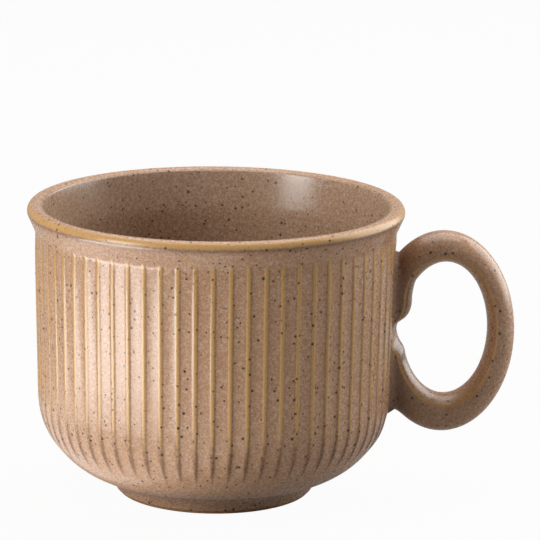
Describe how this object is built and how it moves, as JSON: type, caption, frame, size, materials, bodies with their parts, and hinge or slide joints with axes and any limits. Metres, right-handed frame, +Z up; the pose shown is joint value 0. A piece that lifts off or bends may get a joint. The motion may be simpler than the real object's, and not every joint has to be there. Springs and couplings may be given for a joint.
{
  "type": "coffee cup",
  "caption": "Round stoneware coffee cup with a ribbed wall, a rolled lip, a low foot ring and one oval finger-loop handle.",
  "frame": {"origin": "on the cup's axis, in the plane of the foot ring's flat underside, where the cup stands on the table", "axes": "+Z up along the cup's axis, +X towards the handle, +Y completes a right-handed frame"},
  "size_m": [0.1194, 0.092, 0.072],
  "materials": {
    "clay": "fired stoneware, matt",
    "slip": "fired slip, matt",
    "inside_glaze": "satin glaze with dark specks",
    "outside_glaze": "satin glaze with dark specks"
  },
  "bodies": {
    "root": {"cup_body": "clay", "handle": "clay", "upper_handle_slip": "slip", "lower_handle_slip": "slip", "liner_glaze": "inside_glaze", "outer_glaze": "outside_glaze", "base_glaze": "outside_glaze", "handle_glaze": "outside_glaze"}
  },
  "joints": []
}
